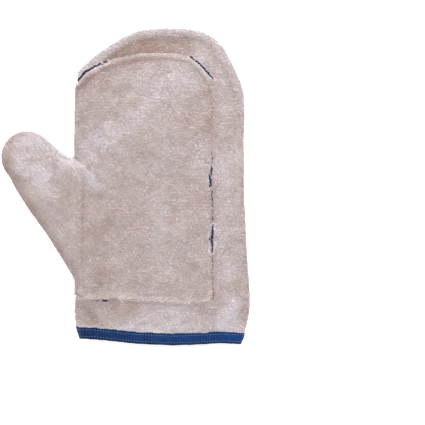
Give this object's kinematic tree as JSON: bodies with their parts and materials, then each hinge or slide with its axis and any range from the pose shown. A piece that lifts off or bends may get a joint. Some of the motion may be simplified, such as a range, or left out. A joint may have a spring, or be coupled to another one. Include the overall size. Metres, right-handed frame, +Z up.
{
  "type": "terry cloth heat resistant mitten",
  "caption": "Left-hand terry cloth heat mitten lying palm up: a sewn bag with a set-in thumb, a doubled palm that wraps round the thumb side, and a blue tape bound round the open cuff.",
  "frame": {"origin": "on the surface the mitten lies on, under the middle of its box", "axes": "+Z up out of the palm, +Y from the cuff to the fingertips, -X towards the thumb"},
  "size_m": [0.2364, 0.3022, 0.0317],
  "materials": {
    "terry_shell": "matt looped pile",
    "terry_palm": "matt looped pile",
    "terry_thumb": "matt looped pile",
    "blue_tape": "matt woven cotton"
  },
  "bodies": {
    "root": {"hand_shell": "terry_shell", "palm_patch": "terry_palm", "thumb": "terry_thumb", "cuff_binding": "blue_tape"}
  },
  "joints": []
}
